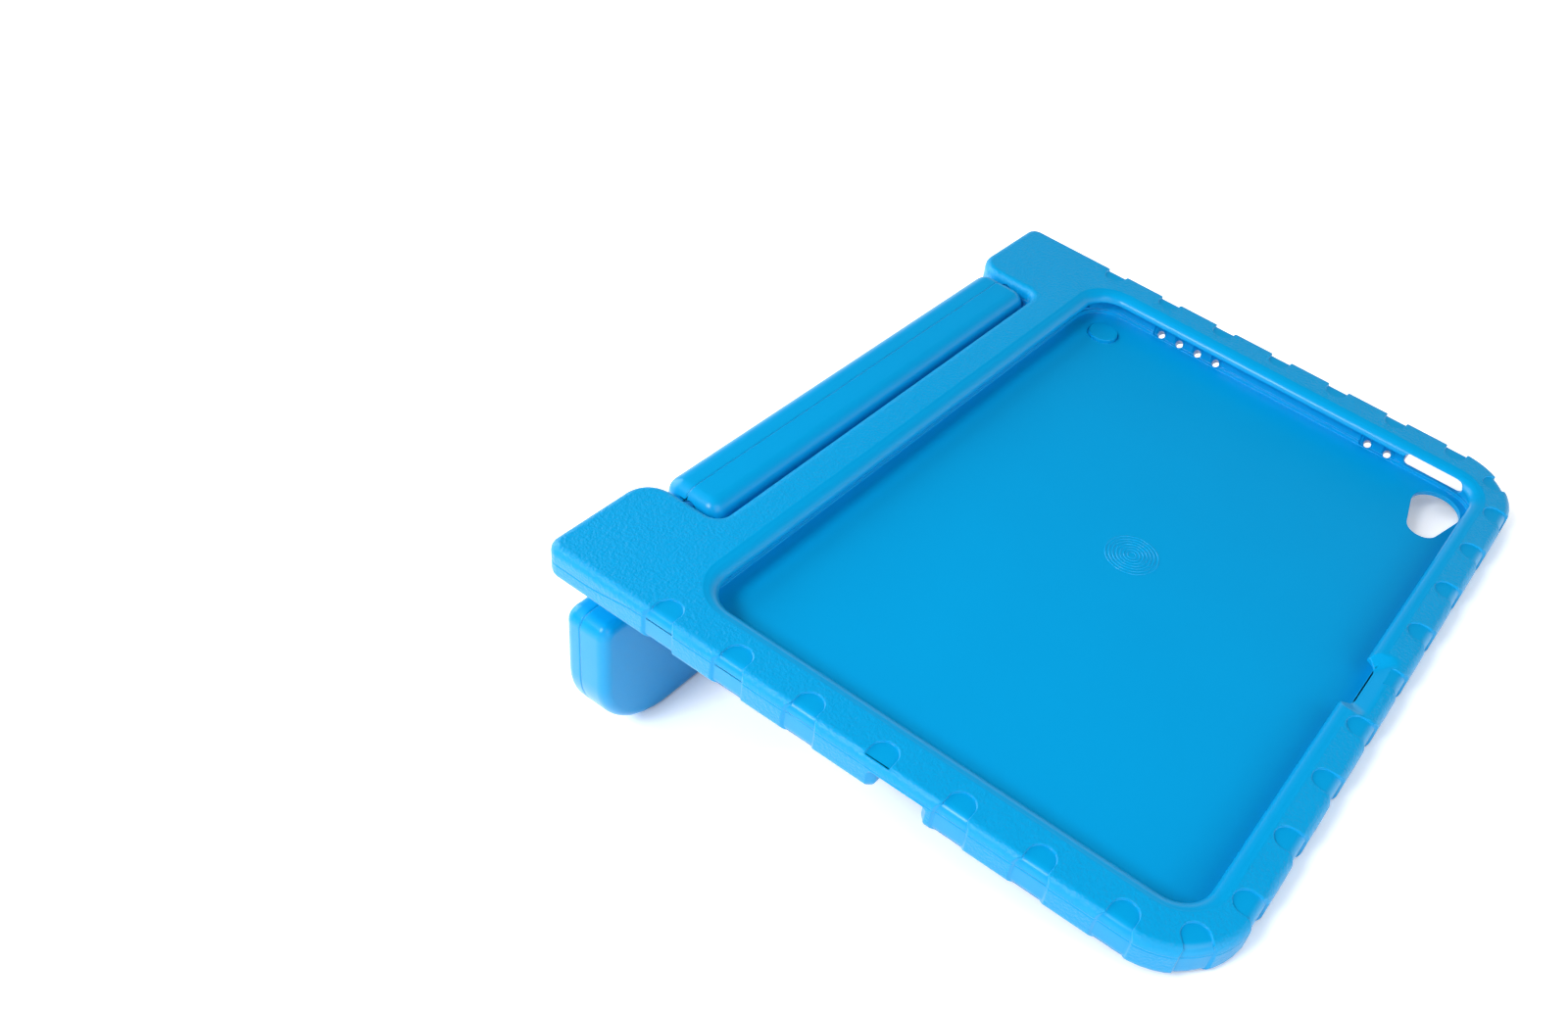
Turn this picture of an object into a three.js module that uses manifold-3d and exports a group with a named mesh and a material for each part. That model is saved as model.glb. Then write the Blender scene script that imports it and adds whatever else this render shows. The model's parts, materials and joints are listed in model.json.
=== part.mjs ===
// A child's tablet cover of moulded foam. A tray holds the tablet under an overhanging lip, and a wide
// handle turns on two pins between the tray's lugs. Folded back at a right angle it is the stand that
// the cover is shown on. Lengths are in millimetres, and the origin is on the table, below the middle.

import * as THREE from 'three';
import { mergeVertices } from 'three/addons/utils/BufferGeometryUtils.js';
import Module from 'manifold-3d';

// The tablet, lying on its back: length along x, width along y
const tabletLength = 248.6;
const tabletWidth = 179.5;
const tabletThickness = 7;
const tabletCornerRadius = 15;
const tabletClearance = 0.2;

// The tray's walls
const shortSideRim = 14;
const lowSideRim = 10.4;
const hingeSideRim = 12.8;
const floorThickness = 2;
const lipThickness = 4;
const lipEdgeThickness = 1;
const lipReach = 4;
const trayCornerRadius = 27;
const trayEdgeRadius = 3;

// The lugs that carry the hinge, and the notch between them
const lugReach = 29.4;
const lugWidth = 43.9;
const lugOuterRadius = 5;
const lugInnerRadius = 10;
const notchRootRadius = 5;

// The handle: a bar between the lugs and a wide grip, which is also the foot
const barThickness = 23;
const barEdgeRadius = 6;
const barEndRadius = 5;
const barTaperInset = 1;
const barBuried = 4;
const barEndGap = 2;
const footThickness = 17;
const footEdgeRadius = 3.6;
const footReach = 74;
const footCornerRadius = 30;
const shoulderCornerRadius = 5;
const shoulderClearance = 1.5;
const neckRadius = 3;
const hingeFromLugEdge = 15.5;
const handHoleLength = 112;
const handHoleHeight = 31;
const handHoleRadius = 15;
const handHoleFromFoot = 19;

// The hinge pins
const pinRadius = 3;
const pinChamfer = 0.6;
const pinInLug = 22;
const pinInBar = 20;
const pinClearance = 0.3;

// Finger notches round the frame: shallow cuts in the wall that end in a round dip in the front face
const longSideNotches = 9;
const shortSideNotches = 7;
const notchFromCorner = 2.9;
const notchFromLug = 15.6;
const notchLength = 8.8;
const notchRamp = 1.4;
const notchDepth = 1.2;
const dipDepth = 0.6;
const dipFromWall = 4.8;

// Openings for the tablet's cameras, buttons, sockets and speakers
const lipNotchLength = 30;
const lipNotchBottom = 20;
const lipNotchOffset = -7;
const lipNotchSlopeReach = 6;
const lipNotchSlopeDepth = 3;
const cameraRadius = 9.75;
const cameraTailRadius = 6.2;
const cameraTailDistance = 14.3;
const cameraFromEnd = 14.2;
const cameraFromLowSide = 14.7;
const buttonSlotStart = 10;
const buttonSlotLength = 25.2;
const buttonSillHeight = 1.5;
const buttonSillWidth = 1.2;
const buttonWindowTop = 2.1;
const buttonWindowRadius = 2;
const portSlotLength = 20.4;
const volumeRecessLength = 15.5;
const volumeRecessDepth = 2;
const volumeRecessHeight = 5;
const volumeRecessFromEnd = 7.5;
const speakersByDisc = 4;
const speakersByButtons = 2;
const speakerHoleRadius = 1.5;
const speakerPitch = 8.7;
const speakerFromMiddle = 31.1;
const speakerFromButtons = 7;
const speakerSlope = 41;
const speakerRecessDepth = 1;

// The raised disc in the floor's corner
const discRadius = 6;
const discHeight = 1.2;
const discFromEnd = 16.8;
const discFromHingeSide = 14.6;

// Sizes that follow from the ones above
const pocketLength = tabletLength + 2 * tabletClearance;
const pocketWidth = tabletWidth + 2 * tabletClearance;
const pocketRadius = tabletCornerRadius + tabletClearance;
const trayLength = pocketLength + 2 * shortSideRim;
const trayThickness = floorThickness + tabletThickness + lipThickness;
const notchWallY = lowSideRim + pocketWidth + hingeSideRim;
const trayWidth = notchWallY + lugReach;
const pocketMiddleY = lowSideRim + pocketWidth / 2;
const halfTray = trayLength / 2;
const halfPocket = pocketLength / 2;
const pocketEndY = lowSideRim + pocketWidth;
const lugInnerX = halfTray - lugWidth;
const halfBar = lugInnerX - barEndGap;
const floorZ = floorThickness - trayThickness;
const buttonSlotEndY = lowSideRim + buttonSlotStart + buttonSlotLength;
const hingeY = trayWidth - hingeFromLugEdge;
const hingeZ = -trayThickness / 2;
const shoulderDrop = hingeFromLugEdge + shoulderClearance;
const firstNotch = trayCornerRadius + notchFromCorner;
const longSidePitch = (trayLength - 2 * firstNotch) / (longSideNotches - 1);
const shortSidePitch = (notchWallY - notchFromLug - firstNotch) / (shortSideNotches - 1);
const beyond = 2 * trayThickness;

// Fineness of curves
const arcSteps = 4;
const holeSteps = 24;

const manifoldModule = await Module();
manifoldModule.setup();

function toSolid(geometry) {
  const bare = geometry.index ? geometry.toNonIndexed() : geometry.clone();
  bare.deleteAttribute('normal');
  bare.deleteAttribute('uv');
  const merged = mergeVertices(bare, 1e-4);
  const mesh = new manifoldModule.Mesh({
    numProp: 3,
    vertProperties: new Float32Array(merged.attributes.position.array),
    triVerts: new Uint32Array(merged.index.array),
  });
  return new manifoldModule.Manifold(mesh);
}

function toGeometry(solid) {
  const mesh = solid.getMesh();
  const geometry = new THREE.BufferGeometry();
  geometry.setAttribute('position', new THREE.BufferAttribute(mesh.vertProperties, 3));
  geometry.setIndex(new THREE.BufferAttribute(mesh.triVerts, 1));
  geometry.computeVertexNormals();
  return geometry;
}

function cutAll(body, cutters) {
  return cutters.reduce((rest, cutter) => rest.subtract(cutter), body);
}

// A closed outline through corners given as [x, y, radius], anticlockwise, each corner a tangent arc
function roundedShape(corners, Outline = THREE.Shape) {
  const shape = new Outline();
  corners.forEach(([x, y, radius], index) => {
    const previous = corners[(index + corners.length - 1) % corners.length];
    const next = corners[(index + 1) % corners.length];
    const corner = new THREE.Vector2(x, y);
    const back = new THREE.Vector2(previous[0] - x, previous[1] - y).normalize();
    const ahead = new THREE.Vector2(next[0] - x, next[1] - y).normalize();
    const halfAngle = Math.acos(THREE.MathUtils.clamp(back.dot(ahead), -1, 1)) / 2;
    const turnsLeft = back.cross(ahead) < 0;
    const start = corner.clone().addScaledVector(back, radius / Math.tan(halfAngle));
    const bisector = back.clone().add(ahead).normalize();
    const centre = corner.clone().addScaledVector(bisector, radius / Math.sin(halfAngle));
    const end = corner.clone().addScaledVector(ahead, radius / Math.tan(halfAngle));
    const startAngle = Math.atan2(start.y - centre.y, start.x - centre.x);
    const endAngle = Math.atan2(end.y - centre.y, end.x - centre.x);
    shape.absarc(centre.x, centre.y, radius, startAngle, endAngle, !turnsLeft);
  });
  shape.closePath();
  return shape;
}

function roundedRectangle(length, width, radius, centreY = 0) {
  const x = length / 2;
  const low = centreY - width / 2;
  const high = centreY + width / 2;
  return roundedShape([[x, low, radius], [x, high, radius], [-x, high, radius], [-x, low, radius]]);
}

// A slab between two heights, its edges rounded or, with one step, bevelled
function slab(shape, lowZ, highZ, edge = 0, steps = 3, edgeHeight = edge) {
  const geometry = new THREE.ExtrudeGeometry(shape, {
    depth: highZ - lowZ - 2 * edgeHeight,
    bevelEnabled: edge > 0,
    bevelThickness: edgeHeight,
    bevelSize: edge,
    bevelOffset: -edge,
    bevelSegments: steps,
    curveSegments: arcSteps,
  });
  return geometry.translate(0, 0, lowZ + edgeHeight);
}

// The tray's outline: round corners at the low side, two lugs and the notch at the hinge side
function trayOutline() {
  return roundedShape([
    [halfTray, 0, trayCornerRadius],
    [halfTray, trayWidth, lugOuterRadius],
    [lugInnerX, trayWidth, lugInnerRadius],
    [lugInnerX, notchWallY, notchRootRadius],
    [-lugInnerX, notchWallY, notchRootRadius],
    [-lugInnerX, trayWidth, lugInnerRadius],
    [-halfTray, trayWidth, lugOuterRadius],
    [-halfTray, 0, trayCornerRadius],
  ]);
}

// The pocket for the tablet and the opening above it, which narrows to the lip's edge
function pocketCutters() {
  const pocket = roundedRectangle(pocketLength, pocketWidth, pocketRadius, pocketMiddleY);
  const opening = roundedRectangle(
    pocketLength - 2 * lipReach, pocketWidth - 2 * lipReach, pocketRadius - lipReach, pocketMiddleY);
  const bevelHeight = lipThickness - lipEdgeThickness;
  return [
    toSolid(slab(pocket, floorZ, -lipThickness)),
    toSolid(slab(opening, floorZ, 0)),
    toSolid(slab(pocket, -bevelHeight, beyond, lipReach, 1, bevelHeight)),
  ];
}

// A four-sided outline in the low side, narrower towards the wall
function lipNotchShape(bottomLength, topLength, lowY, highY) {
  return new THREE.Shape([
    new THREE.Vector2(lipNotchOffset - bottomLength / 2, lowY),
    new THREE.Vector2(lipNotchOffset + bottomLength / 2, lowY),
    new THREE.Vector2(lipNotchOffset + topLength / 2, highY),
    new THREE.Vector2(lipNotchOffset - topLength / 2, highY),
  ]);
}

// A gap in the low side's lip for the tablet's front camera, and the slope in the frame round it
function lipNotchCutters() {
  const endY = lowSideRim + 2 * lipReach;
  const gap = lipNotchShape(lipNotchBottom, lipNotchLength, lowSideRim, endY);
  const wider = 2 * lipNotchSlopeReach;
  const slope = lipNotchShape(
    lipNotchBottom + wider, lipNotchLength + wider, lowSideRim - lipNotchSlopeReach, endY + wider);
  return [
    toSolid(slab(gap, floorZ, beyond)),
    toSolid(slab(slope, -lipNotchSlopeDepth, beyond, lipNotchSlopeReach, 1, lipNotchSlopeDepth)),
  ];
}

// The space that one finger notch takes up, across a wall that faces -y at y = 0
function fingerNotch() {
  const half = notchLength / 2;
  const wall = new THREE.Shape([
    new THREE.Vector2(-half - notchRamp, 0),
    new THREE.Vector2(-half - notchRamp, -notchDepth),
    new THREE.Vector2(half + notchRamp, -notchDepth),
    new THREE.Vector2(half + notchRamp, 0),
    new THREE.Vector2(half, notchDepth),
    new THREE.Vector2(half, dipFromWall),
    new THREE.Vector2(-half, dipFromWall),
    new THREE.Vector2(-half, notchDepth),
  ]);
  const dip = new THREE.CylinderGeometry(half, half, 2 * beyond, holeSteps);
  dip.rotateX(Math.PI / 2).translate(0, dipFromWall, 0);
  return toSolid(slab(wall, -beyond, beyond)).add(toSolid(dip));
}

// What a finger notch leaves of the frame: the same rounded edge, set back from the wall and the face
function notchCore() {
  const x = halfTray - notchDepth;
  const radius = trayCornerRadius - notchDepth;
  const shape = roundedShape([
    [x, notchDepth, radius], [x, trayWidth, radius], [-x, trayWidth, radius], [-x, notchDepth, radius]]);
  return toSolid(slab(shape, -trayThickness, -dipDepth, trayEdgeRadius));
}

// Over the port slot the wall stays whole, and a notch is only its dip in the front face
function dipAlone(notch) {
  const below = new THREE.BoxGeometry(beyond, beyond, 2 * beyond);
  below.translate(0, 0, -beyond - dipDepth);
  return notch.subtract(toSolid(below));
}

function fingerNotches() {
  const notch = fingerNotch();
  const dip = dipAlone(notch);
  const placed = [];
  for (let index = 0; index < longSideNotches; index += 1) {
    placed.push(notch.translate([(index - (longSideNotches - 1) / 2) * longSidePitch, 0, 0]));
  }
  for (let index = 0; index < shortSideNotches; index += 1) {
    const y = firstNotch + index * shortSidePitch;
    placed.push(notch.rotate([0, 0, 90]).translate([halfTray, y, 0]));
    const overPort = Math.abs(y - pocketMiddleY) < portSlotLength / 2;
    placed.push((overPort ? dip : notch).rotate([0, 0, -90]).translate([-halfTray, y, 0]));
  }
  const cornerIn = trayCornerRadius * (1 - Math.SQRT1_2);
  placed.push(notch.rotate([0, 0, 45]).translate([halfTray - cornerIn, cornerIn, 0]));
  placed.push(notch.rotate([0, 0, -45]).translate([cornerIn - halfTray, cornerIn, 0]));
  const core = notchCore();
  return placed.map((space) => space.subtract(core));
}

// The rear camera's hole: a big circle and a small one, with straight sides tangent to both
function cameraCutter() {
  const bigX = halfPocket - cameraFromEnd;
  const y = lowSideRim + cameraFromLowSide;
  const lean = Math.acos((cameraRadius - cameraTailRadius) / cameraTailDistance);
  const shape = new THREE.Shape();
  shape.absarc(bigX, y, cameraRadius, lean - Math.PI, Math.PI - lean, false);
  shape.absarc(bigX - cameraTailDistance, y, cameraTailRadius, Math.PI - lean, Math.PI + lean, false);
  return toSolid(slab(shape, -beyond, -lipThickness));
}

// A way through a short side's wall below the lip, open at the back
function sideSlotCutter(side, fromY, length, setBack) {
  const reach = shortSideRim + trayEdgeRadius;
  const slot = new THREE.BoxGeometry(reach, length, beyond);
  const x = halfPocket + setBack + reach / 2;
  slot.translate(side * x, fromY + length / 2, -lipThickness - beyond / 2);
  return toSolid(slot);
}

// The window above the button slot's sill, which also cuts the lip's edge away
function buttonWindowCutter(fromY) {
  const height = -floorZ - buttonSillHeight - buttonWindowTop;
  const shape = roundedRectangle(height, buttonSlotLength, buttonWindowRadius);
  const window = slab(shape, 0, 2 * lipReach + buttonSillWidth);
  window.rotateY(Math.PI / 2);
  window.translate(
    halfPocket - 2 * lipReach, fromY + buttonSlotLength / 2, -buttonWindowTop - height / 2);
  return toSolid(window);
}

// A row of round holes that slope from a recess in the pocket's wall down through its back
function speakerCutters(firstY, count) {
  const slope = THREE.MathUtils.degToRad(speakerSlope);
  const length = 2 * trayThickness;
  const hole = new THREE.CylinderGeometry(speakerHoleRadius, speakerHoleRadius, length, holeSteps / 2);
  hole.translate(0, -length / 2 + 2 * speakerHoleRadius, 0);
  hole.rotateX(Math.PI / 2).rotateY(slope - Math.PI / 2);
  hole.translate(halfPocket, firstY, floorZ + speakerHoleRadius / Math.cos(slope));
  const rowLength = (count - 1) * speakerPitch + 4 * speakerHoleRadius;
  const recess = new THREE.BoxGeometry(2 * speakerRecessDepth, rowLength, tabletThickness);
  recess.translate(
    halfPocket, firstY + ((count - 1) * speakerPitch) / 2, -lipThickness - tabletThickness / 2);
  const first = toSolid(hole);
  const cutters = [toSolid(recess)];
  for (let index = 0; index < count; index += 1) {
    cutters.push(first.translate([0, index * speakerPitch, 0]));
  }
  return cutters;
}

function volumeRecessCutter() {
  const recess = new THREE.BoxGeometry(volumeRecessLength, 2 * volumeRecessDepth, volumeRecessHeight);
  const x = halfPocket - volumeRecessFromEnd - volumeRecessLength / 2;
  recess.translate(x, pocketEndY, -lipThickness - volumeRecessHeight / 2);
  return toSolid(recess);
}

function cornerDisc() {
  const disc = new THREE.CylinderGeometry(discRadius, discRadius, 2 * discHeight, holeSteps);
  disc.rotateX(Math.PI / 2);
  disc.translate(halfPocket - discFromEnd, pocketEndY - discFromHingeSide, floorZ);
  return toSolid(disc);
}

function pinHole(fromX, toX, y, z) {
  const hole = new THREE.CylinderGeometry(
    pinRadius + pinClearance, pinRadius + pinClearance, Math.abs(toX - fromX), holeSteps);
  hole.rotateZ(Math.PI / 2).translate((fromX + toX) / 2, y, z);
  return toSolid(hole);
}

function makeTray() {
  const body = toSolid(slab(trayOutline(), -trayThickness, 0, trayEdgeRadius));
  const lugHoles = [-1, 1].map((side) => pinHole(
    side * (lugInnerX - barEndGap / 2), side * (lugInnerX + pinInLug + pinClearance), hingeY, hingeZ));
  const tray = cutAll(body, [
    ...pocketCutters(),
    ...lipNotchCutters(),
    ...fingerNotches(),
    cameraCutter(),
    sideSlotCutter(1, lowSideRim + buttonSlotStart, buttonSlotLength, buttonSillWidth),
    buttonWindowCutter(lowSideRim + buttonSlotStart),
    sideSlotCutter(-1, pocketMiddleY - portSlotLength / 2, portSlotLength, -tabletClearance),
    ...speakerCutters(pocketMiddleY + speakerFromMiddle, speakersByDisc),
    ...speakerCutters(buttonSlotEndY + speakerFromButtons, speakersByButtons),
    volumeRecessCutter(),
    ...lugHoles,
  ]);
  return toGeometry(tray.add(cornerDisc()));
}

// The plate of the grip and its neck, drawn in the plane of the handle with the hinge at the origin
function plateShape() {
  const shape = roundedShape([
    [halfTray, -footReach, footCornerRadius],
    [halfTray, -shoulderDrop, shoulderCornerRadius],
    [halfBar - barEdgeRadius, -shoulderDrop, neckRadius],
    [halfBar - barEdgeRadius, 0, shoulderCornerRadius],
    [barEdgeRadius - halfBar, 0, shoulderCornerRadius],
    [barEdgeRadius - halfBar, -shoulderDrop, neckRadius],
    [-halfTray, -shoulderDrop, shoulderCornerRadius],
    [-halfTray, -footReach, footCornerRadius],
  ]);
  const low = handHoleFromFoot - footReach;
  const x = handHoleLength / 2;
  const high = low + handHoleHeight;
  shape.holes.push(roundedShape([
    [x, low, handHoleRadius],
    [x, high, handHoleRadius],
    [-x, high, handHoleRadius],
    [-x, low, handHoleRadius],
  ]));
  return shape;
}

// The bar's section: full thickness round the hinge, narrowing to the plate below it
function barShape() {
  const front = -hingeZ;
  const wide = barThickness / 2;
  const narrow = footThickness / 2 - barTaperInset;
  const bottom = -shoulderDrop - barBuried;
  return roundedShape([
    [narrow, bottom, barEdgeRadius],
    [wide, -barEdgeRadius, barEdgeRadius],
    [wide, front, barEdgeRadius],
    [-wide, front, barEdgeRadius],
    [-wide, -barEdgeRadius, barEdgeRadius],
    [-narrow, bottom, barEdgeRadius],
  ]);
}

function makeHandle() {
  const plate = slab(plateShape(), -footThickness / 2, footThickness / 2, footEdgeRadius);
  const bar = slab(barShape(), -halfBar, halfBar, barEndRadius);
  plate.rotateX(Math.PI / 2);
  bar.rotateX(Math.PI / 2).rotateZ(Math.PI / 2);
  const body = toSolid(plate).add(toSolid(bar));
  const pinHoles = [-1, 1].map((side) => pinHole(
    side * (halfBar - pinInBar - pinClearance), side * (halfBar + barEndGap), 0, 0));
  return toGeometry(cutAll(body, pinHoles));
}

function makePin() {
  const length = pinInBar + barEndGap + pinInLug;
  const profile = [
    new THREE.Vector2(0, 0),
    new THREE.Vector2(pinRadius - pinChamfer, 0),
    new THREE.Vector2(pinRadius, pinChamfer),
    new THREE.Vector2(pinRadius, length - pinChamfer),
    new THREE.Vector2(pinRadius - pinChamfer, length),
    new THREE.Vector2(0, length),
  ];
  const pin = new THREE.LatheGeometry(profile, holeSteps);
  return toGeometry(toSolid(pin.translate(0, -length / 2, 0).rotateZ(Math.PI / 2)));
}

// How far the tray leans: its low edge and the foot's inner edge touch the same table
function restingTilt() {
  const lowEdge = new THREE.Vector2(trayEdgeRadius, trayEdgeRadius - trayThickness);
  const footEdge = new THREE.Vector2(
    hingeY - footThickness / 2 + footEdgeRadius, hingeZ - footReach + footEdgeRadius);
  const between = footEdge.clone().sub(lowEdge);
  const lean = Math.atan2(-between.y, between.x);
  return lean + Math.asin((footEdgeRadius - trayEdgeRadius) / between.length());
}

const foam = new THREE.MeshStandardMaterial({ color: 0x0f9fe4, roughness: 0.62, metalness: 0 });
const handleFoam = new THREE.MeshStandardMaterial({ color: 0x0a98dc, roughness: 0.55, metalness: 0 });
const pinPlastic = new THREE.MeshStandardMaterial({ color: 0x0b7fc4, roughness: 0.4, metalness: 0 });

function namedMesh(name, geometry, material) {
  const mesh = new THREE.Mesh(geometry, material);
  mesh.name = name;
  return mesh;
}

const hinge = new THREE.Group();
hinge.position.set(0, hingeY, hingeZ);
hinge.add(namedMesh('handle', makeHandle(), handleFoam));

const pinX = halfBar - pinInBar + (pinInBar + barEndGap + pinInLug) / 2;
for (const [name, side] of [['hinge_pin_left', -1], ['hinge_pin_right', 1]]) {
  const pin = namedMesh(name, makePin(), pinPlastic);
  pin.position.set(side * pinX, 0, 0);
  hinge.add(pin);
}

const leaning = new THREE.Group();
leaning.rotation.x = restingTilt();
leaning.add(namedMesh('tray', makeTray(), foam), hinge);

const cover = new THREE.Group();
cover.add(leaning);
cover.updateMatrixWorld(true);
const extent = new THREE.Box3().setFromObject(cover, true);
leaning.position.set(
  -(extent.min.x + extent.max.x) / 2, -(extent.min.y + extent.max.y) / 2, -extent.min.z);

export default cover;
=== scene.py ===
import json
import math

import bmesh
import bpy
from mathutils import Matrix, Vector


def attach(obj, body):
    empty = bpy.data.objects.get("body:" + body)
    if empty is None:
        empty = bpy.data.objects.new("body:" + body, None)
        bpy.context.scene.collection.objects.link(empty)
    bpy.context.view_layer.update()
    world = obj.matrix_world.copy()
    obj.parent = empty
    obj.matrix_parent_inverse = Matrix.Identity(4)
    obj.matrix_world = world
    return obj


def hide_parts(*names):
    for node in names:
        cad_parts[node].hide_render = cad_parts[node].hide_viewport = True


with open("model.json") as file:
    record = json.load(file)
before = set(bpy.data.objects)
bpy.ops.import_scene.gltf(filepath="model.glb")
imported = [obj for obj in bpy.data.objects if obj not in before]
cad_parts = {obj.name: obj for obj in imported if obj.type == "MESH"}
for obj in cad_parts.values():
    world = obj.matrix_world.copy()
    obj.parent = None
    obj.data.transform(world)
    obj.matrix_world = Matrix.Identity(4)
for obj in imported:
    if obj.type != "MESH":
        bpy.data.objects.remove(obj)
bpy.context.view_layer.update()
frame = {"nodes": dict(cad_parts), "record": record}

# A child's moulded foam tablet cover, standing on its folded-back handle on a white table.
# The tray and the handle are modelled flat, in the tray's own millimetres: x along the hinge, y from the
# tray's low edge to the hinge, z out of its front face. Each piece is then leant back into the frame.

MM = 0.001

# The tray's outline and walls
TRAY_HALF = 138.5
TRAY_WIDTH = 232.5
TRAY_THICK = 13.0
LOW_CORNER = 27.0
EDGE_ROUND = 3.0
LUG_INNER = 94.6
LUG_INNER_CORNER = 10.0
LUG_OUTER_CORNER = 5.0
NOTCH_WALL = 203.1
NOTCH_CORNER = 5.0
POCKET_HALF = 124.5
POCKET_LOW = 10.4
POCKET_HIGH = 190.3
POCKET_CORNER = 15.2
POCKET_MIDDLE = 100.35
FLOOR = -11.0
LIP_UNDER = -4.0
LEDGE_HIGH = 1.5
LEDGE_WIDE = 0.9

# The hinge line, seen from the tray
HINGE_Y = 217.0
HINGE_Z = -6.5

# The parting line of the mould: near the front face, and lower round the lugs
PARTING = -3.6
PARTING_LUG = -6.3
PARTING_BENDS = (194.5, 217)
GROOVE_HALF = 0.22
GROOVE_DEEP = 0.35

# The lip's section, from its crease to its edge: how far each step goes in, and how far down
LIP_STEPS = [
    (0.5, 0.1), (0.5, 0.22), (0.5, 0.03), (0.8, 0.25), (0.9, 0.45), (0.8, 0.6), (0.6, 0.75), (0.3, 0.8),
    (0.05, 0.4)]
LIP_START = 0.85

# Finger notches. Down to NOTCH_END the wall is set back by NOTCH_DEEP between two ramps, and in the front
# face each notch ends in a U, DIP_DEEP deep. Over the port slot there is only the U, with a slit along it.
NOTCH_HALF = 4.3
NOTCH_RAMP = 1.7
NOTCH_DEEP = 0.85
RAMP_IN = 1.8
NOTCH_END = -12.65
DIP_DEEP = 0.6
DIP_REACH = 9.2
LONG_PITCH = 27.15
SIDE_NOTCHES = [29.9 + 26.27 * i for i in range(7)]
PORT_NOTCH = 3
SLIT_FROM_WALL = 1.3
SLIT_WIDE = 0.35
SLIT_DEEP = 0.6

# The gap in the low side's lip, and the slope down to it: the share of the way in, and how far down
GAP_MIDDLE = -7.0
GAP_HALF_LOW = 10.0
GAP_HALF_HIGH = 15.0
GAP_SLOPE = 6.0
SLOPE_STEPS = [(0.14, 0.15), (0.32, 0.5), (0.8, 1.75), (1.0, 0.6)]

# The rear camera's hole: a big round, and a small one nearer the middle
CAMERA_PLACE = (110.3, 25.1)
CAMERA_RADIUS = 9.75
TAIL_RADIUS = 6.2
TAIL_DISTANCE = 14.3

# The slots in the short sides: the button's on the right, behind a sill, and the port's on the left
SLOT_TOP = -4.5
SLOT_CORNER = 1.8
BUTTON_SPAN = (20.4, 45.6)
BUTTON_SILL = 1.2
BUTTON_TOP = -2.1
PORT_SPAN = (90.15, 110.55)
PORT_MOUTH = 2.3

# Speaker holes: each row's first place and its count, the sloping holes, their flutes and their recess
SPEAKER_ROWS = [(131.45, 4), (52.6, 2)]
SPEAKER_PITCH = 8.7
SPEAKER_RADIUS = 1.5
SPEAKER_SLOPE = math.radians(41)
SPEAKER_LENGTH = 20.0
FLUTE_RADIUS = 2.5
FLUTE_HIGH = 5.2
RECESS_MARGIN = 3.0
RECESS_DEEP = 0.7

# On the floor: a disc in a fine ditch, and raised rings in the middle
DISC_PLACE = (107.7, 175.7)
DISC_RADIUS = 6.0
DISC_HIGH = 1.2
DISC_DITCH = 0.45
RING_COUNT = 7
FIRST_RING = 1.5
RING_PITCH = 1.33
RING_WIRE = 0.38

# Under the hinge side's lip, next to the disc: a scoop, from one x to another
SCOOP_SPAN = (101.5, 117)

# The pins' bores: how far each one's middle lies from the slit's edge, and its length
BORE_RADIUS = 3.3
LUG_BORE = (10.65, 23.3)
BAR_BORE = (8.3, 24.0)

# The handle's sizes, measured from the hinge line
BAR_HALF = 92.6
BAR_THICK = 23.0
BAR_ROUND = 6.0
BAR_END_ROUND = 5.0
GRIP_THICK = 17.0
GRIP_ROUND = 3.6
SHOULDER = -17.0
SHOULDER_CORNER = 5.0
NECK_CORNER = 3.0
GRIP_END = -74.0
GRIP_CORNER = 30.0
HAND_HOLE_HALF = 56.0
HAND_HOLE_SPAN = (-55.0, -24.0)
HAND_HOLE_CORNER = 15.0
HANDLE_PARTING = -1.8

# How wide the softened edges are, and the place, in metres, from which a mesh's parts are sorted before that
SOFT_TRAY = 0.25
SOFT_HANDLE = 0.3
SORTING_PLACE = (0.391, 0.457, 0.523)

# Softboxes: name, place and size in metres, and power in watts. The small one shows as a glint along edges.
SOFTBOXES = [
    ("softbox_left", (-0.86, 0.02, 0.87), 0.35, 7.6),
    ("softbox_back", (-0.15, 0.85, 0.75), 0.9, 10),
    ("softbox_front", (-0.35, -0.95, 0.6), 0.8, 4.6),
]
SOFTBOX_AIM = (0, 0, 0.03)

FOAM_BLUE = "#00A3E2"
FOAM_DEEPER_BLUE = "#009FDE"
PIN_BLUE = "#0B7FC4"
PAPER_WHITE = "#FAFAFA"


def linear(hex_colour):
    """An sRGB hex colour as linear RGBA."""
    channels = [int(hex_colour[i:i + 2], 16) / 255 for i in (1, 3, 5)]
    return [c / 12.92 if c <= 0.04045 else ((c + 0.055) / 1.055) ** 2.4 for c in channels] + [1.0]


def add_node(tree, kind, sockets=None, **settings):
    """Adds a node; sockets holds a value or another node's output for each named or numbered input."""
    node = tree.nodes.new(kind)
    for name, value in settings.items():
        setattr(node, name, value)
    for name, value in (sockets or {}).items():
        if isinstance(value, bpy.types.NodeSocket):
            tree.links.new(value, node.inputs[name])
        else:
            node.inputs[name].default_value = value
    return node


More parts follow.
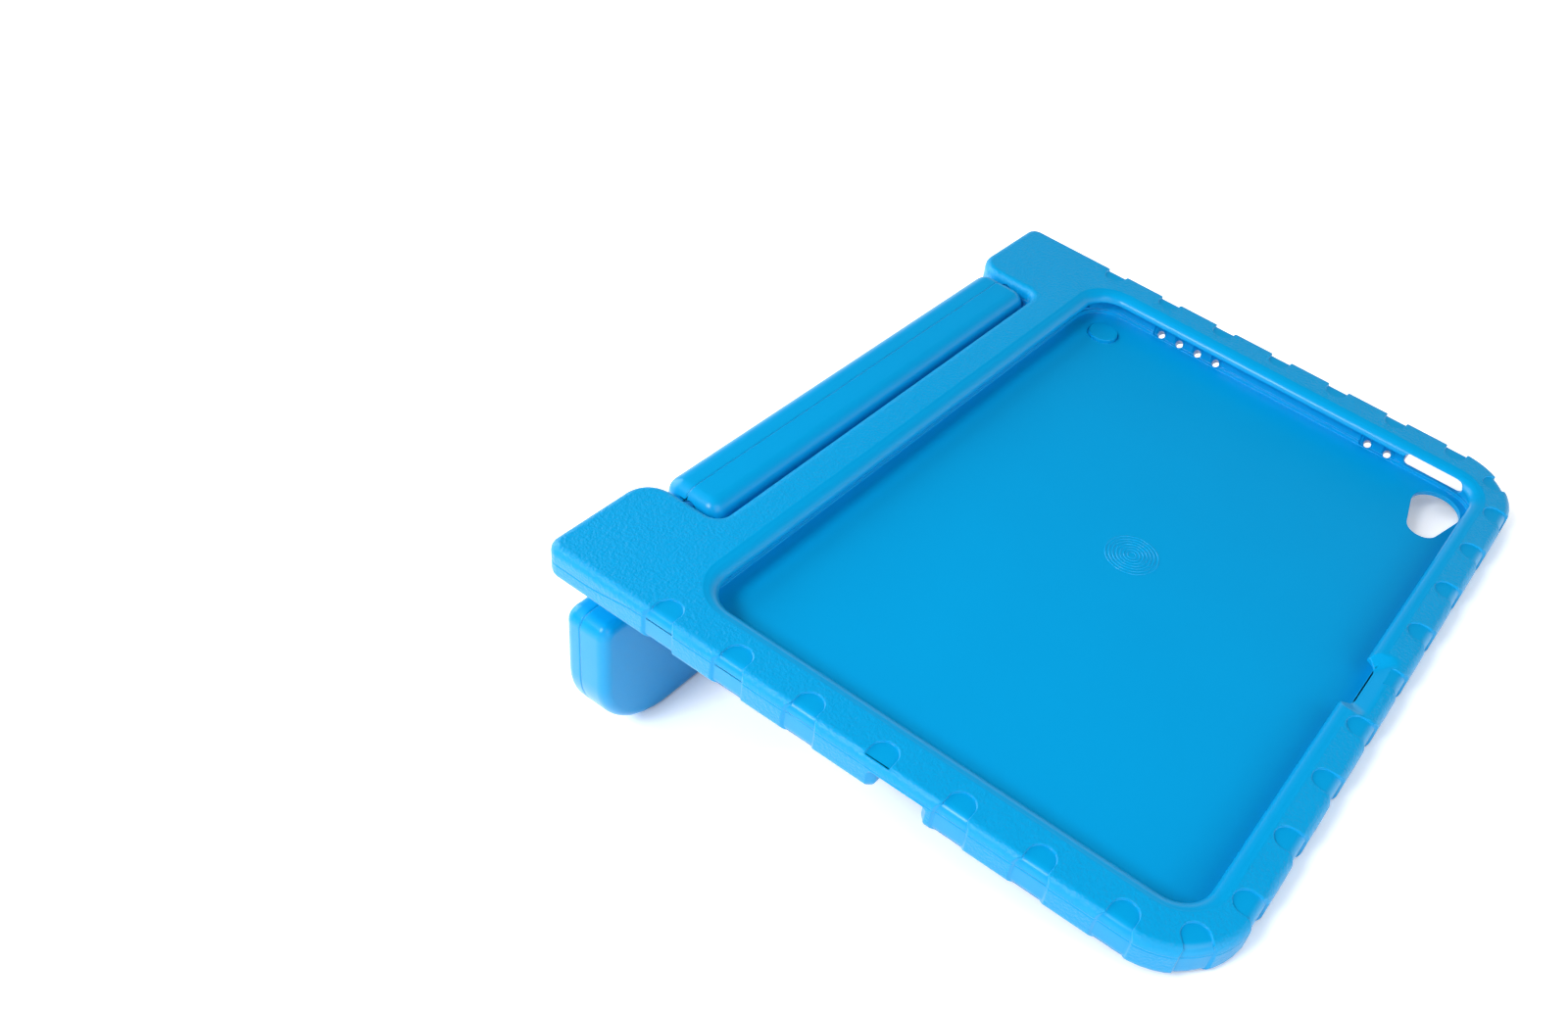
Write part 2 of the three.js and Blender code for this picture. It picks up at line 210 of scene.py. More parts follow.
def foam(name, roughness, grain_mm, grain_depth, pores):
    """Moulded EVA foam. Its closed skin is satin, with the grain of the mould's walls pressed into it.

    The colour drifts a little over 40 mm, as the foam's density does. Pores is the share of round pebbles.
    """
    material = bpy.data.materials.new(name)
    material.use_nodes = True
    tree = material.node_tree
    skin = tree.nodes["Principled BSDF"]
    place = add_node(tree, "ShaderNodeTexCoord").outputs["Object"]
    cloud = add_node(tree, "ShaderNodeTexNoise", {"Vector": place, "Scale": 1 / (40 * MM), "Detail": 2.0})
    tint = add_node(tree, "ShaderNodeMix", {
        "Factor": cloud.outputs["Fac"], 6: linear(FOAM_BLUE), 7: linear(FOAM_DEEPER_BLUE)}, data_type="RGBA")
    tree.links.new(tint.outputs[2], skin.inputs["Base Color"])
    grain = add_node(tree, "ShaderNodeTexNoise", {
        "Vector": place, "Scale": 1 / (grain_mm * MM), "Detail": 3.0, "Roughness": 0.6})
    pebbles = add_node(tree, "ShaderNodeTexVoronoi", {
        "Vector": place, "Scale": 1 / (1.6 * grain_mm * MM)}, feature="SMOOTH_F1")
    relief = add_node(tree, "ShaderNodeMath", {
        0: pebbles.outputs["Distance"], 1: pores, 2: grain.outputs["Fac"]}, operation="MULTIPLY_ADD")
    bump = add_node(tree, "ShaderNodeBump", {
        "Height": relief.outputs["Value"], "Strength": 1.0, "Distance": grain_depth * MM})
    tree.links.new(bump.outputs["Normal"], skin.inputs["Normal"])
    skin.inputs["Roughness"].default_value = roughness
    skin.inputs["IOR"].default_value = 1.45
    skin.inputs["Specular IOR Level"].default_value = 0.36
    return material


# The tray's outside is etched like leather. The real grain is about 0.4 mm wide, too fine to show in the
# render, so it is drawn as coarse as it needs to show. Inside and on the handle the skin is nearly smooth.
GRAINED = foam("eva_foam_leathery_grain", roughness=0.33, grain_mm=0.6, grain_depth=0.16, pores=1.0)
SMOOTH = foam("eva_foam_smooth_skin", roughness=0.28, grain_mm=0.9, grain_depth=0.016, pores=0.3)


def deselect():
    if bpy.context.object and bpy.context.object.mode != "OBJECT":
        bpy.ops.object.mode_set(mode="OBJECT")
    bpy.ops.object.select_all(action="DESELECT")


def pick_object(piece):
    deselect()
    bpy.context.view_layer.objects.active = piece
    piece.select_set(True)


def edit(piece):
    pick_object(piece)
    bpy.ops.object.mode_set(mode="EDIT")
    bpy.ops.mesh.select_all(action="DESELECT")


def pick(piece, kind, test, least_angle=None):
    """Selects the vertices, edges or faces that pass a test on their corners' places in millimetres."""
    bpy.ops.mesh.select_mode(type=kind)
    bpy.ops.mesh.select_all(action="DESELECT")
    mesh = bmesh.from_edit_mesh(piece.data)
    for item in {"VERT": mesh.verts, "EDGE": mesh.edges, "FACE": mesh.faces}[kind]:
        corners = [item] if kind == "VERT" else item.verts
        if not test([corner.co / MM for corner in corners]):
            continue
        if least_angle is None or item.calc_face_angle(0) > least_angle:
            item.select_set(True)
    mesh.select_flush_mode()
    bmesh.update_edit_mesh(piece.data)


def everything(places):
    return True


def near(value, target, within=0.01):
    return abs(value - target) < within


def bake_place(piece):
    pick_object(piece)
    bpy.ops.object.transform_apply(location=True, rotation=True, scale=True)


def plate(name, low, high, z=0.0):
    """A flat rectangle between two corners, in millimetres."""
    deselect()
    centre = Vector(((low[0] + high[0]) / 2, (low[1] + high[1]) / 2, z)) * MM
    bpy.ops.mesh.primitive_plane_add(size=1, location=centre)
    piece = bpy.context.object
    piece.name = name
    piece.scale = ((high[0] - low[0]) * MM, (high[1] - low[1]) * MM, 1)
    bake_place(piece)
    return piece


def rod(radius, length, place, turn=(0, 0, 0), vertices=32):
    """A round cutting tool, its place in millimetres and its turn in radians."""
    deselect()
    bpy.ops.mesh.primitive_cylinder_add(
        vertices=vertices, radius=radius * MM, depth=length * MM, location=Vector(place) * MM, rotation=turn)
    piece = bpy.context.object
    bake_place(piece)
    return piece


def bisect(piece, place, normal):
    pick(piece, "FACE", everything)
    bpy.ops.mesh.bisect(plane_co=Vector(place) * MM, plane_no=normal)


def round_corners(piece, radius, places, segments=8):
    """Rounds the corners of a flat outline at some places."""
    pick(piece, "VERT", lambda v: any(near(v[0].x, x) and near(v[0].y, y) for x, y in places))
    bpy.ops.mesh.bevel(offset=radius * MM, segments=segments, affect="VERTICES")


def cut_away(piece, test):
    """Takes away the parts of a flat, bisected outline that pass the test, and the lines left in the rest."""
    pick(piece, "FACE", test)
    bpy.ops.mesh.delete(type="FACE")
    bpy.ops.mesh.select_all(action="SELECT")
    bpy.ops.mesh.dissolve_limited(angle_limit=math.radians(1))


def draw_out(depth):
    """Extrudes what is selected along z."""
    bpy.ops.mesh.extrude_region_move(TRANSFORM_OT_translate={"value": (0, 0, depth * MM)})


def face_outwards():
    bpy.ops.mesh.select_all(action="SELECT")
    bpy.ops.mesh.normals_make_consistent(inside=False)


def thicken(depth):
    """Draws a flat outline out along z and turns its faces outwards."""
    bpy.ops.mesh.select_all(action="SELECT")
    draw_out(depth)
    face_outwards()


def round_rim(piece, z, radius, segments=5):
    """Rounds the edges of a slab that lie at one height."""
    pick(piece, "EDGE", lambda e: near(e[0].z, z) and near(e[1].z, z), math.radians(60))
    bpy.ops.mesh.bevel(offset=radius * MM, segments=segments, affect="EDGES")


def step_in(steps):
    """Insets the selected face step by step, each step also going down."""
    for inwards, down in steps:
        bpy.ops.mesh.inset(thickness=inwards * MM, depth=0)
        bpy.ops.transform.translate(value=(0, 0, -down * MM))


def groove(piece, test):
    """Makes a fine V groove of the edges that pass the test."""
    pick(piece, "EDGE", lambda e: all(test(v) for v in e))
    bpy.ops.mesh.bevel(offset=GROOVE_HALF * MM, segments=2, affect="EDGES")
    pick(piece, "VERT", lambda v: test(v[0]))
    bpy.ops.transform.shrink_fatten(value=-GROOVE_DEEP * MM)


def to_object():
    bpy.ops.object.mode_set(mode="OBJECT")


def wear(piece, index):
    """Gives a piece both foams, with all its faces in one of them."""
    piece.data.materials.clear()
    for material in (GRAINED, SMOOTH):
        piece.data.materials.append(material)
    for face in piece.data.polygons:
        face.material_index = index


def combine(piece, tool, how="DIFFERENCE", index=1):
    """Cuts a tool out of a piece, or joins it on; the faces that it leaves are smooth foam."""
    wear(tool, index)
    pick_object(piece)
    boolean = piece.modifiers.new("boolean", "BOOLEAN")
    boolean.operation = how
    boolean.solver = "EXACT"
    boolean.object = tool
    bpy.ops.object.modifier_apply(modifier=boolean.name)
    bpy.data.objects.remove(tool, do_unlink=True)


def copy_to(tool, turn, place):
    """A copy of a tool, turned about z in degrees and moved, with a mesh of its own."""
    other = tool.copy()
    other.data = tool.data.copy()
    bpy.context.collection.objects.link(other)
    other.data.transform(Matrix.Translation(Vector(place) * MM) @ Matrix.Rotation(math.radians(turn), 4, "Z"))
    return other


def join(tools):
    deselect()
    for tool in tools:
        tool.select_set(True)
    bpy.context.view_layer.objects.active = tools[0]
    bpy.ops.object.join()
    return bpy.context.object


def rounded_outline(low, high, radius, z, segments=8):
    """A flat rectangle with round corners, left open in edit mode."""
    piece = plate("outline", low, high, z)
    edit(piece)
    round_corners(piece, radius, [(x, y) for x in (low[0], high[0]) for y in (low[1], high[1])], segments)
    return piece


def rounded_block(low, high, radius, z_low, z_high, segments=8):
    """A block with upright rounded corners."""
    block = rounded_outline(low, high, radius, z_low, segments)
    thicken(z_high - z_low)
    to_object()
    return block


def stand_along_x(block):
    """Swaps x and z, so that a section drawn as z by y runs along x."""
    block.data.transform(Matrix(((0, 0, 1, 0), (0, 1, 0, 0), (1, 0, 0, 0), (0, 0, 0, 1))))
    edit(block)
    face_outwards()
    to_object()


def side_block(y_span, z_span, radius, x_low, x_high):
    """A block along x, with the corners of its y-z section rounded."""
    block = rounded_block((z_span[0], y_span[0]), (z_span[1], y_span[1]), radius, x_low, x_high, 6)
    stand_along_x(block)
    return block


# How the flat tray leans in the frame, from the seat's normal and the hinge's place in the record
seat = next(m for m in frame["record"]["mounts"] if m["name"] == "tablet_seat")
hinge = next(j for j in frame["record"]["behaviour"]["joints"] if j["name"] == "handle_hinge")
LEAN = math.atan2(-seat["axis"][1], seat["axis"][2])
TURN = Matrix.Rotation(LEAN, 4, "X")
LEANING = Matrix.Translation(Vector(hinge["pos_m"]) - TURN @ (Vector((0, HINGE_Y, HINGE_Z)) * MM)) @ TURN


def lean(piece):
    """Moves a flat piece's mesh to where the piece stands, and leaves its object at the origin."""
    piece.data.transform(LEANING)
    piece.data.update()


def soften(piece, width, angle=32):
    """Takes the sharpness off a moulding's edges.

    Booleans leave a mesh's parts in an order that changes from run to run, so they are sorted by
    their distance from a place that no symmetry of the piece maps onto itself. The cursor goes back
    afterwards, since new objects start from it.
    """
    cursor = bpy.context.scene.cursor
    edit(piece)
    bpy.ops.mesh.select_all(action="SELECT")
    cursor.location = SORTING_PLACE
    bpy.ops.mesh.sort_elements(type="CURSOR_DISTANCE", elements={"VERT", "EDGE", "FACE"})
    cursor.location = (0, 0, 0)
    bpy.ops.mesh.remove_doubles(threshold=0.07 * MM)
    bpy.ops.mesh.dissolve_degenerate(threshold=0.04 * MM)
    to_object()
    soft = piece.modifiers.new("soft edges", "BEVEL")
    soft.width = width * MM
    soft.segments = 3
    soft.limit_method = "ANGLE"
    soft.angle_limit = math.radians(angle)
    soft.use_clamp_overlap = False
    bpy.ops.object.modifier_apply(modifier=soft.name)
    bpy.ops.object.shade_smooth_by_angle(angle=math.radians(40))
    flat = piece.modifiers.new("even faces", "WEIGHTED_NORMAL")
    flat.weight = 60
    flat.keep_sharp = True
    bpy.ops.object.modifier_apply(modifier=flat.name)


def parting_height(y):
    """How far below the front face the tray's parting line runs."""
    first, last = PARTING_BENDS
    share = min(max((y - first) / (last - first), 0), 1)
    return PARTING + (PARTING_LUG - PARTING) * share * share * (3 - 2 * share)


def tray_blank():
    """The tray's outline with its two lugs, drawn out, rounded along its edges and marked by the mould."""
    blank = plate("tray_shell", (-TRAY_HALF, 0), (TRAY_HALF, TRAY_WIDTH), 0)
    edit(blank)
    for x in (-LUG_INNER, LUG_INNER):
        bisect(blank, (x, 0, 0), (1, 0, 0))
    bisect(blank, (0, NOTCH_WALL, 0), (0, 1, 0))
    cut_away(blank, lambda f: all(abs(v.x) < LUG_INNER + 0.01 and v.y > NOTCH_WALL - 0.01 for v in f))
    round_corners(blank, LOW_CORNER, [(-TRAY_HALF, 0), (TRAY_HALF, 0)], 12)
    round_corners(blank, LUG_OUTER_CORNER, [(-TRAY_HALF, TRAY_WIDTH), (TRAY_HALF, TRAY_WIDTH)])
    round_corners(blank, LUG_INNER_CORNER, [(-LUG_INNER, TRAY_WIDTH), (LUG_INNER, TRAY_WIDTH)], 10)
    round_corners(blank, NOTCH_CORNER, [(-LUG_INNER, NOTCH_WALL), (LUG_INNER, NOTCH_WALL)])
    thicken(-TRAY_THICK)
    round_rim(blank, 0, EDGE_ROUND)
    round_rim(blank, -TRAY_THICK, EDGE_ROUND)
    bisect(blank, (0, 0, PARTING), (0, 0, 1))
    first, last = PARTING_BENDS
    for i in range(7):
        bisect(blank, (0, first + (last - first) * i / 6, 0), (0, 1, 0))
    pick(blank, "VERT", lambda v: near(v[0].z, PARTING) and v[0].y > first + 0.01)
    for vertex in [v for v in bmesh.from_edit_mesh(blank.data).verts if v.select]:
        vertex.co.z = parting_height(vertex.co.y / MM) * MM
    groove(blank, lambda v: near(v.z, parting_height(v.y)))
    to_object()
    wear(blank, 0)
    return blank


def notch_space(z_low):
    """The space of a finger notch in a wall along y = 0, from a height up: ramps, then a U further in."""
    space = plate("notch", (-NOTCH_HALF, -RAMP_IN), (NOTCH_HALF, DIP_REACH), z_low)
    edit(space)
    bisect(space, (0, RAMP_IN, 0), (0, 1, 0))
    pick(space, "VERT", lambda v: near(v[0].y, -RAMP_IN))
    wider = 1 + 2 * NOTCH_RAMP / NOTCH_HALF
    bpy.ops.transform.resize(value=(wider, 1, 1), center_override=(0, -RAMP_IN * MM, z_low * MM))
    round_corners(space, NOTCH_HALF - 0.05, [(-NOTCH_HALF, DIP_REACH), (NOTCH_HALF, DIP_REACH)], 12)
    thicken(5 - z_low)
    to_object()
    return space


def notch_tools():
    """The finger notches, less the tray's core: a smaller tray, whose rounded edge they leave standing."""
    space = notch_space(NOTCH_END)
    places = [(0, (i * LONG_PITCH, 0, 0)) for i in range(-4, 5)]
    for i, y in enumerate(SIDE_NOTCHES):
        places.append((90, (TRAY_HALF, y, 0)))
        if i != PORT_NOTCH:
            places.append((-90, (-TRAY_HALF, y, 0)))
    inset = LOW_CORNER * (1 - math.sqrt(0.5))
    places.append((45, (TRAY_HALF - inset, inset, 0)))
    places.append((-45, (inset - TRAY_HALF, inset, 0)))
    tools = join([copy_to(space, turn, place) for turn, place in places])
    bpy.data.objects.remove(space, do_unlink=True)

    deep = NOTCH_DEEP
    back = -TRAY_THICK - 0.05
    core = plate("core", (deep - TRAY_HALF, deep), (TRAY_HALF - deep, TRAY_WIDTH + 5), -DIP_DEEP)
    edit(core)
    round_corners(core, LOW_CORNER - deep, [(deep - TRAY_HALF, deep), (TRAY_HALF - deep, deep)], 15)
    thicken(back + DIP_DEEP)
    round_rim(core, -DIP_DEEP, EDGE_ROUND)
    round_rim(core, back, EDGE_ROUND)
    bisect(core, (0, 0, PARTING - DIP_DEEP), (0, 0, 1))
    groove(core, lambda v: near(v.z, PARTING - DIP_DEEP))
    to_object()
    combine(tools, core)
    return tools


def port_notch_tool():
    """The notch over the port slot: the wall stays whole there, and the U ends in a fine slit."""
    notch = notch_space(-DIP_DEEP)
    half = NOTCH_HALF - 0.6
    low, high = (-half, SLIT_FROM_WALL), (half, SLIT_FROM_WALL + SLIT_WIDE)
    combine(notch, rounded_block(low, high, 0.1, -DIP_DEEP - SLIT_DEEP, 1, 2), "UNION")
    place = Matrix.Translation(Vector((-TRAY_HALF, SIDE_NOTCHES[PORT_NOTCH], 0)) * MM)
    notch.data.transform(place @ Matrix.Rotation(-math.pi / 2, 4, "Z"))
    return notch


def side_slot(span, x_low, x_high, mouth=0):
    """A slot through a short side below the lip, open at the back, where it widens round the tray's edge.

    With a mouth it narrows by so much at both ends, at 45 degrees, from the left wall inwards.
    """
    back = -TRAY_THICK - 0.05
    flare = EDGE_ROUND + 1
    slot = plate("slot", (-20, span[0] - flare), (SLOT_TOP, span[1] + flare), x_low)
    edit(slot)
    bisect(slot, (back, 0, 0), (1, 0, 0))
    for y in span:
        bisect(slot, (0, y, 0), (0, 1, 0))
    cut_away(slot, lambda f: all(v.x > back - 0.01 for v in f) and (
        all(v.y < span[0] + 0.01 for v in f) or all(v.y > span[1] - 0.01 for v in f)))
    round_corners(slot, EDGE_ROUND, [(back, y) for y in span])
    round_corners(slot, SLOT_CORNER, [(SLOT_TOP, y) for y in span], 6)
    bpy.ops.mesh.select_all(action="SELECT")
    if mouth:
        draw_out(-TRAY_HALF - x_low)
        draw_out(mouth)
        narrower = 1 - 2 * mouth / (span[1] - span[0])
        bpy.ops.transform.resize(value=(1, narrower, 1), center_override=(0, sum(span) / 2 * MM, 0))
        x_low = mouth - TRAY_HALF
    draw_out(x_high - x_low)
    to_object()
    stand_along_x(slot)
    return slot


def opening_tool():
    """The opening above the tablet: a crease in the front face, and the lip that rolls down to its edge."""
    low = (-POCKET_HALF - LIP_START, POCKET_LOW - LIP_START)
    high = (POCKET_HALF + LIP_START, POCKET_HIGH + LIP_START)
    tool = rounded_outline(low, high, POCKET_CORNER + LIP_START, 0, 12)
    bpy.ops.mesh.select_all(action="SELECT")
    draw_out(5)
    pick(tool, "FACE", lambda f: all(near(v.z, 0) for v in f))
    step_in(LIP_STEPS)
    draw_out(-2)
    face_outwards()
    to_object()
    return tool


def pocket_tool():
    """The tablet's pocket under the lip, with a small ledge along the foot of its wall."""
    low, high = (-POCKET_HALF, POCKET_LOW), (POCKET_HALF, POCKET_HIGH)
    top = FLOOR + LEDGE_HIGH
    tool = rounded_outline(low, high, POCKET_CORNER, top, 12)
    bpy.ops.mesh.select_all(action="SELECT")
    draw_out(LIP_UNDER - top)
    pick(tool, "FACE", lambda f: all(near(v.z, top) for v in f))
    step_in([(LEDGE_WIDE, 0)])
    draw_out(-LEDGE_HIGH)
    face_outwards()
    to_object()
    return tool


def gap_shape(extra, low_y, high_y, z):
    """A four-sided outline that widens away from the wall, for the gap in the low side's lip."""
    half = GAP_HALF_LOW + extra
    shape = plate("gap", (GAP_MIDDLE - half, low_y), (GAP_MIDDLE + half, high_y), z)
    edit(shape)
    pick(shape, "VERT", lambda v: near(v[0].y, high_y))
    bpy.ops.transform.resize(
        value=((GAP_HALF_HIGH + extra) / half, 1, 1), center_override=(GAP_MIDDLE * MM, high_y * MM, z * MM))
    round_corners(shape, 2.5, [(GAP_MIDDLE - half, low_y), (GAP_MIDDLE + half, low_y)], 5)
    return shape


def lip_gap_tools():
    """The gap in the lip for the tablet's front camera, and the slope that leads down to it."""
    gap = gap_shape(0, POCKET_LOW, POCKET_LOW + 8, FLOOR + LEDGE_HIGH + 0.5)
    thicken(14)
    to_object()
    slope = gap_shape(GAP_SLOPE, POCKET_LOW - GAP_SLOPE, POCKET_LOW + 20, 0)
    bpy.ops.mesh.select_all(action="SELECT")
    draw_out(5)
    pick(slope, "FACE", lambda f: all(near(v.z, 0) for v in f))
    shrink = GAP_HALF_LOW / (GAP_HALF_LOW + GAP_SLOPE)
    centre = (GAP_MIDDLE * MM, (POCKET_LOW + GAP_SLOPE * shrink / (1 - shrink)) * MM, 0)
    size = 1
    for inwards, depth in SLOPE_STEPS:
        smaller = 1 - (1 - shrink) * inwards
        draw_out(-depth)
        bpy.ops.transform.resize(value=(smaller / size, smaller / size, 1), center_override=centre)
        size = smaller
    face_outwards()
    to_object()
    return [gap, slope]


def camera_tool():
    """The rear camera's hole: the hull of a big round and a small one."""
    x, y = CAMERA_PLACE
    tool = join([rod(CAMERA_RADIUS, 7, (x, y, -12.2), vertices=64),
                 rod(TAIL_RADIUS, 7, (x - TAIL_DISTANCE, y, -12.2), vertices=48)])
    edit(tool)
    bpy.ops.mesh.select_all(action="SELECT")
    bpy.ops.mesh.convex_hull()
    to_object()
    return tool


def speaker_tools():
    """Rows of sloping round holes, each at the foot of a flute in a shallow recess of the wall."""
    tools = []
    reach = SPEAKER_LENGTH / 2 - 3
    hole_x = POCKET_HALF + reach * math.cos(SPEAKER_SLOPE)
    hole_z = FLOOR + SPEAKER_RADIUS / math.cos(SPEAKER_SLOPE) - reach * math.sin(SPEAKER_SLOPE)
    for first, count in SPEAKER_ROWS:
        last = first + (count - 1) * SPEAKER_PITCH
        tools.append(side_block(
            (first - RECESS_MARGIN, last + RECESS_MARGIN), (FLOOR, LIP_UNDER - 0.3), 1.2,
            POCKET_HALF - 1, POCKET_HALF + RECESS_DEEP))
        for i in range(count):
            y = first + i * SPEAKER_PITCH
            tools.append(rod(FLUTE_RADIUS, FLUTE_HIGH, (POCKET_HALF - 0.5, y, FLOOR + 2.9), vertices=24))
            tools.append(rod(
                SPEAKER_RADIUS, SPEAKER_LENGTH, (hole_x, y, hole_z), (0, math.pi / 2 + SPEAKER_SLOPE, 0), 20))
    return tools


def tray_shell():
    shell = tray_blank()
    combine(shell, notch_tools())
    combine(shell, port_notch_tool())
    combine(shell, opening_tool())
    combine(shell, pocket_tool())
    for tool in lip_gap_tools():
        combine(shell, tool)
    combine(shell, camera_tool())
    sill = POCKET_HALF + BUTTON_SILL
    combine(shell, side_block(BUTTON_SPAN, (FLOOR + LEDGE_HIGH, BUTTON_TOP), 2, POCKET_HALF - 8, sill + 0.01))
    combine(shell, side_slot(BUTTON_SPAN, sill, TRAY_HALF + 5))
    combine(shell, side_slot(PORT_SPAN, -TRAY_HALF - 5, 0.2 - POCKET_HALF, PORT_MOUTH))
    for tool in speaker_tools():
        combine(shell, tool)
    low, high = [(x, POCKET_HIGH + y) for x, y in zip(SCOOP_SPAN, (-2, 2))]
    combine(shell, rounded_block(low, high, 1, -9, LIP_UNDER - 0.2, 4))
    x, y = DISC_PLACE
    combine(shell, rod(DISC_RADIUS + DISC_DITCH, 1, (x, y, FLOOR), vertices=48))
    combine(shell, rod(DISC_RADIUS, DISC_HIGH + 1, (x, y, FLOOR + (DISC_HIGH - 1) / 2), vertices=48), "UNION")
    into_lug, length = LUG_BORE
    for side in (-1, 1):
        middle = (side * (LUG_INNER + into_lug), HINGE_Y, HINGE_Z)
        combine(shell, rod(BORE_RADIUS, length, middle, (0, math.pi / 2, 0)))
    soften(shell, SOFT_TRAY)
    lean(shell)
    return shell


def grip_plate():
    """The handle's plate, drawn flat with the hinge at y = 0: a neck, two shoulders and the hand hole."""
    neck = BAR_HALF - BAR_ROUND
    grip = plate("handle_grip", (-TRAY_HALF, GRIP_END), (TRAY_HALF, 0), -GRIP_THICK / 2)
    edit(grip)
    for x in (-neck, neck):
        bisect(grip, (x, 0, 0), (1, 0, 0))
    bisect(grip, (0, SHOULDER, 0), (0, 1, 0))
    cut_away(grip, lambda f: all(abs(v.x) > neck - 0.01 and v.y > SHOULDER - 0.01 for v in f))
    round_corners(grip, GRIP_CORNER, [(-TRAY_HALF, GRIP_END), (TRAY_HALF, GRIP_END)], 14)
    outer = [(-TRAY_HALF, SHOULDER), (TRAY_HALF, SHOULDER), (-neck, 0), (neck, 0)]
    round_corners(grip, SHOULDER_CORNER, outer, 6)
    round_corners(grip, NECK_CORNER, [(-neck, SHOULDER), (neck, SHOULDER)], 5)
    thicken(GRIP_THICK)
    to_object()
    low, high = HAND_HOLE_SPAN
    combine(grip, rounded_block(
        (-HAND_HOLE_HALF, low), (HAND_HOLE_HALF, high), HAND_HOLE_CORNER, -GRIP_THICK, GRIP_THICK, 12))
    edit(grip)
    round_rim(grip, -GRIP_THICK / 2, GRIP_ROUND)
    round_rim(grip, GRIP_THICK / 2, GRIP_ROUND)
    to_object()
    return grip


def handle_bar():
    """The bar between the lugs: a fat rounded section that narrows into the plate."""
    front = -HINGE_Z
    bottom = SHOULDER - 4
    half = BAR_THICK / 2
    bar = plate("bar", (-half, bottom), (half, front), -BAR_HALF)
    edit(bar)
    bisect(bar, (0, -BAR_ROUND, 0), (0, 1, 0))
    pick(bar, "VERT", lambda v: near(v[0].y, bottom))
    narrow = GRIP_THICK / 2 - 1
    bpy.ops.transform.resize(value=(narrow / half, 1, 1), center_override=(0, bottom * MM, -BAR_HALF * MM))
    bpy.ops.mesh.select_all(action="SELECT")
    bpy.ops.mesh.dissolve_limited(angle_limit=math.radians(1))
    corners = [(-half, front), (half, front), (-half, -BAR_ROUND), (half, -BAR_ROUND)]
    round_corners(bar, BAR_ROUND, corners, 8)
    thicken(2 * BAR_HALF)
    for z in (-BAR_HALF, BAR_HALF):
        round_rim(bar, z, BAR_END_ROUND)
    to_object()
    stand_along_x(bar)
    return bar


def handle_grip():
    grip = grip_plate()
    wear(grip, 1)
    combine(grip, handle_bar(), "UNION")
    into_bar, length = BAR_BORE
    for side in (-1, 1):
        combine(grip, rod(BORE_RADIUS, length, (side * (BAR_HALF - into_bar), 0, 0), (0, math.pi / 2, 0)))
    edit(grip)
    bisect(grip, (0, 0, HANDLE_PARTING), (0, 0, 1))
    groove(grip, lambda v: near(v.z, HANDLE_PARTING))
    to_object()
    soften(grip, SOFT_HANDLE, 50)
    # It stands behind the tray: its plate's y becomes z, and its thickness runs from back to front
    stand = Matrix.Translation(Vector((0, HINGE_Y, HINGE_Z)) * MM) @ Matrix.Rotation(math.pi / 2, 4, "X")
    grip.data.transform(stand)
    lean(grip)
    return grip


def floor_rings():
    """Fine raised rings in the middle of the tray's floor."""
    rings = []
    for i in range(RING_COUNT):
        deselect()
        bpy.ops.mesh.primitive_torus_add(
            major_radius=(FIRST_RING + RING_PITCH * i) * MM, minor_radius=RING_WIRE * MM,
            major_segments=32 + 8 * i, minor_segments=8,
            location=Vector((0, POCKET_MIDDLE, FLOOR - 0.2)) * MM)
        rings.append(bpy.context.object)
    piece = join(rings)
    piece.name = "floor_rings"
    bake_place(piece)
    bpy.ops.object.shade_smooth()
    wear(piece, 1)
    lean(piece)
    return piece


tray = tray_shell()
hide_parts("tray")
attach(tray, "tray_body")

grip = handle_grip()
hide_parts("handle")
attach(grip, "handle_body")

rings = floor_rings()
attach(rings, "tray_body")


def pin_nylon():
    """Moulded nylon, dyed like the foam: smooth, with the faint waviness of a moulded rod."""
    material = bpy.data.materials.new("nylon_moulded_blue")
    material.use_nodes = True
    tree = material.node_tree
    skin = tree.nodes["Principled BSDF"]
    skin.inputs["Base Color"].default_value = linear(PIN_BLUE)
    skin.inputs["Roughness"].default_value = 0.35
    skin.inputs["IOR"].default_value = 1.53
    place = add_node(tree, "ShaderNodeTexCoord").outputs["Object"]
    wave = add_node(tree, "ShaderNodeTexNoise", {"Vector": place, "Scale": 1 / (3 * MM), "Detail": 1.0})
    bump = add_node(tree, "ShaderNodeBump", {"Height": wave.outputs["Fac"], "Distance": 0.02 * MM})
    tree.links.new(bump.outputs["Normal"], skin.inputs["Normal"])
    return material


nylon = pin_nylon()
for name in ("hinge_pin_left", "hinge_pin_right"):
    pin = frame["nodes"][name]
    pin.data.materials.clear()
    pin.data.materials.append(nylon)


def camera():
    """The photograph's camera, placed from the tray: its place and axes are written in the flat tray's frame.

    Its principal point is at (1050, 600) of the photograph's 1600 by 1033 pixels.
    """
    right = Vector((0.5292, -0.8248, 0.1994))
    down = Vector((-0.5148, -0.4988, -0.6973))
    ahead = right.cross(down)
    place = Matrix.Identity(4)
    for row in range(3):
        place[row][0] = right[row]
        place[row][1] = -down[row]
        place[row][2] = -ahead[row]
    place.translation = Vector((-350.1, -4.6, 306.3)) * MM
    bpy.ops.object.camera_add()
    view = bpy.context.object
    view.name = "camera"
    view.matrix_world = LEANING @ place
    view.data.sensor_width = 36
    view.data.lens = 32.15
    view.data.shift_x = -250 / 1600
    view.data.shift_y = 83.5 / 1600
    bpy.context.scene.camera = view


